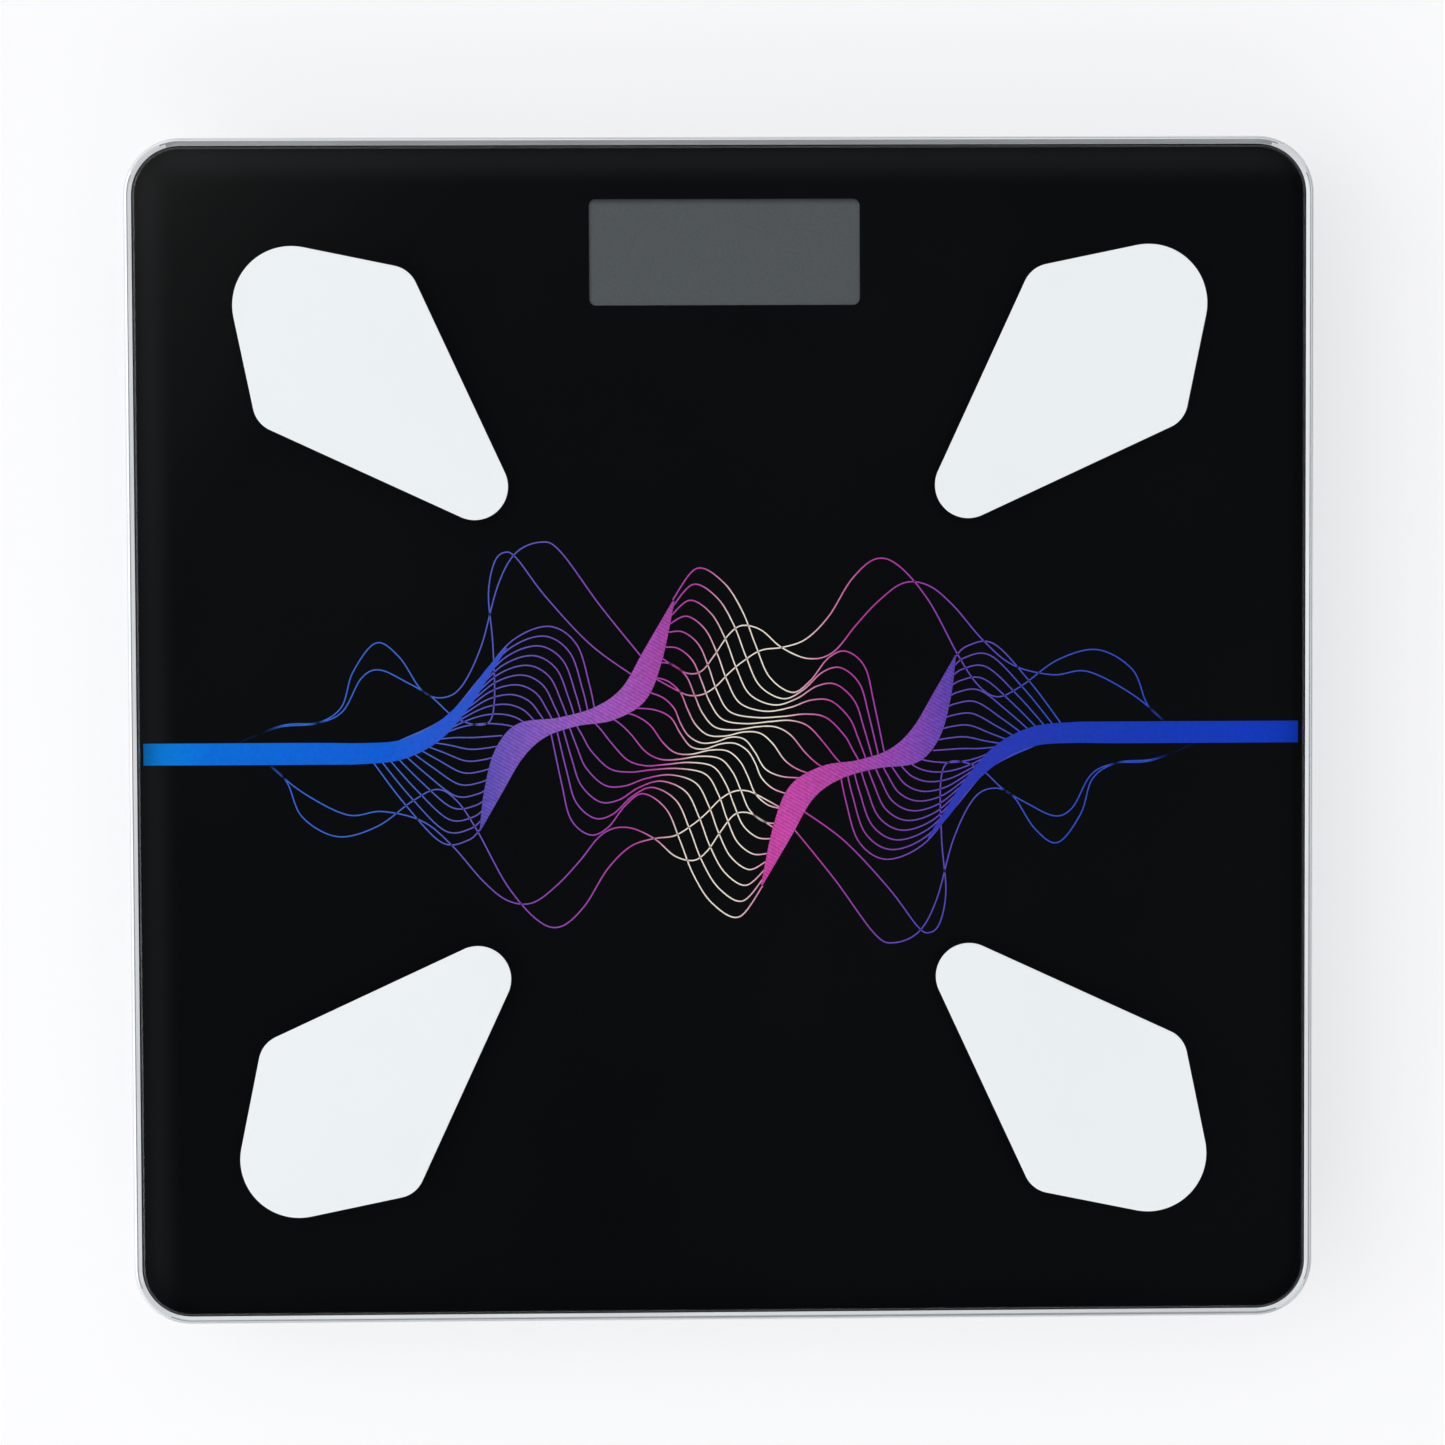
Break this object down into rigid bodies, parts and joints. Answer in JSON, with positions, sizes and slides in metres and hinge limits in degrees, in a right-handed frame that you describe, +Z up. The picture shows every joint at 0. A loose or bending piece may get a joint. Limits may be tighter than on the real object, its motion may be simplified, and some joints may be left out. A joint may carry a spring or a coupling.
{
  "type": "digital bathroom scale",
  "caption": "Square glass-topped digital bathroom scale with foot electrodes, a display window, sprung load-cell feet, a hinged battery door and a unit button.",
  "frame": {"origin": "on the floor under the middle of the square platform, level with the rubber foot pads' undersides", "axes": "+Z up through the glass, +Y towards the display end (the toes), +X to the user's right"},
  "size_m": [0.26, 0.26, 0.0242],
  "materials": {
    "printed_glass": "tempered float glass, black ceramic print, polished",
    "electrode_white": "thin plate with a white conductive coating, satin",
    "silver_abs": "moulded ABS sprayed silver, semi-gloss",
    "foam_tape": "closed-cell foam tape",
    "lcd_glass": "LCD cell, display off",
    "black_abs": "moulded ABS, fine grain",
    "milky_acrylic": "milky acrylic light guide",
    "zebra_rubber": "layered silicone rubber",
    "circuit_board": "solder-masked glass-epoxy laminate",
    "black_epoxy": "moulded epoxy",
    "tin_can": "tin-plated can",
    "dark_abs": "moulded ABS",
    "battery_label": "printed shrink sleeve on a steel can",
    "nickel_contact": "nickel-plated spring steel",
    "red_lead": "PVC insulation",
    "black_lead": "PVC insulation",
    "white_lead": "PVC insulation",
    "green_lead": "PVC insulation",
    "zinc_screw": "zinc-plated",
    "grey_abs": "moulded ABS, fine grain",
    "grey_rubber": "moulded rubber",
    "cell_steel": "nickel-plated pressed steel",
    "white_silicone": "cured silicone"
  },
  "bodies": {
    "base": {"amplifier_chip": "black_epoxy", "backlight_diffuser": "milky_acrylic", "base_shell": "silver_abs", "battery_cell_front": "battery_label", "battery_cell_rear": "battery_label", "battery_lead_negative": "black_lead", "battery_lead_positive": "red_lead", "board_screw_1": "zinc_screw", "board_screw_2": "zinc_screw", "board_screw_3": "zinc_screw", "board_screw_4": "zinc_screw", "contact_bridge": "nickel_contact", "contact_negative": "nickel_contact", "contact_positive": "nickel_contact", "contact_spring_bridge": "nickel_contact", "contact_spring_negative": "nickel_contact", "controller_chip": "black_epoxy", "electrode_lead_heel_left": "green_lead", "electrode_lead_heel_right": "green_lead", "electrode_lead_toe_left": "green_lead", "electrode_lead_toe_right": "green_lead", "glass_adhesive_tape": "foam_tape", "glass_platform": "printed_glass", "heel_electrode_left": "electrode_white", "heel_electrode_right": "electrode_white", "lcd_holder": "black_abs", "lcd_panel": "lcd_glass", "load_cell_heel_left": "cell_steel", "load_cell_heel_right": "cell_steel", "load_cell_lead_heel_left": "white_lead", "load_cell_lead_heel_right": "white_lead", "load_cell_lead_toe_left": "white_lead", "load_cell_lead_toe_right": "white_lead", "load_cell_toe_left": "cell_steel", "load_cell_toe_right": "cell_steel", "main_board": "circuit_board", "quartz_crystal": "tin_can", "smoothing_capacitor": "tin_can", "strain_gauge_heel_left": "white_silicone", "strain_gauge_heel_right": "white_silicone", "strain_gauge_toe_left": "white_silicone", "strain_gauge_toe_right": "white_silicone", "toe_electrode_left": "electrode_white", "toe_electrode_right": "electrode_white", "unit_switch": "black_epoxy", "zebra_connector": "zebra_rubber"},
    "foot_toe_left": {"foot_cap_toe_left": "grey_abs", "foot_pad_toe_left": "grey_rubber"},
    "foot_toe_right": {"foot_cap_toe_right": "grey_abs", "foot_pad_toe_right": "grey_rubber"},
    "foot_heel_left": {"foot_cap_heel_left": "grey_abs", "foot_pad_heel_left": "grey_rubber"},
    "foot_heel_right": {"foot_cap_heel_right": "grey_abs", "foot_pad_heel_right": "grey_rubber"},
    "battery_door": {"battery_door": "silver_abs"},
    "unit_button": {"unit_button": "dark_abs"},
    "unit_switch_plunger": {"unit_switch_plunger": "dark_abs"}
  },
  "joints": [
    {"name": "foot_travel_toe_left", "type": "slide", "parent": "base", "child": "foot_toe_left", "axis": [0, 0, 1], "range_m": [0, 0.00025], "stiffness_N_per_m": 3000, "springref_m": -0.0016},
    {"name": "foot_travel_toe_right", "type": "slide", "parent": "base", "child": "foot_toe_right", "axis": [0, 0, 1], "range_m": [0, 0.00025], "stiffness_N_per_m": 3000, "springref_m": -0.0016},
    {"name": "foot_travel_heel_left", "type": "slide", "parent": "base", "child": "foot_heel_left", "axis": [0, 0, 1], "range_m": [0, 0.00025], "stiffness_N_per_m": 3000, "springref_m": -0.0016},
    {"name": "foot_travel_heel_right", "type": "slide", "parent": "base", "child": "foot_heel_right", "axis": [0, 0, 1], "range_m": [0, 0.00025], "stiffness_N_per_m": 3000, "springref_m": -0.0016},
    {"name": "battery_door_hinge", "type": "hinge", "parent": "base", "child": "battery_door", "pos_m": [0, 0.0577, 0.004], "axis": [1, 0, 0], "range_deg": [0, 75]},
    {"name": "unit_button_press", "type": "slide", "parent": "base", "child": "unit_button", "axis": [0, 0, 1], "range_m": [0, 0.00025], "stiffness_N_per_m": 120},
    {"name": "switch_plunger_press", "type": "slide", "parent": "base", "child": "unit_switch_plunger", "axis": [0, 0, 1], "range_m": [0, 0.00025]}
  ],
  "couplings": [
    {"joint": "switch_plunger_press", "follows": "unit_button_press", "ratio": 1}
  ]
}
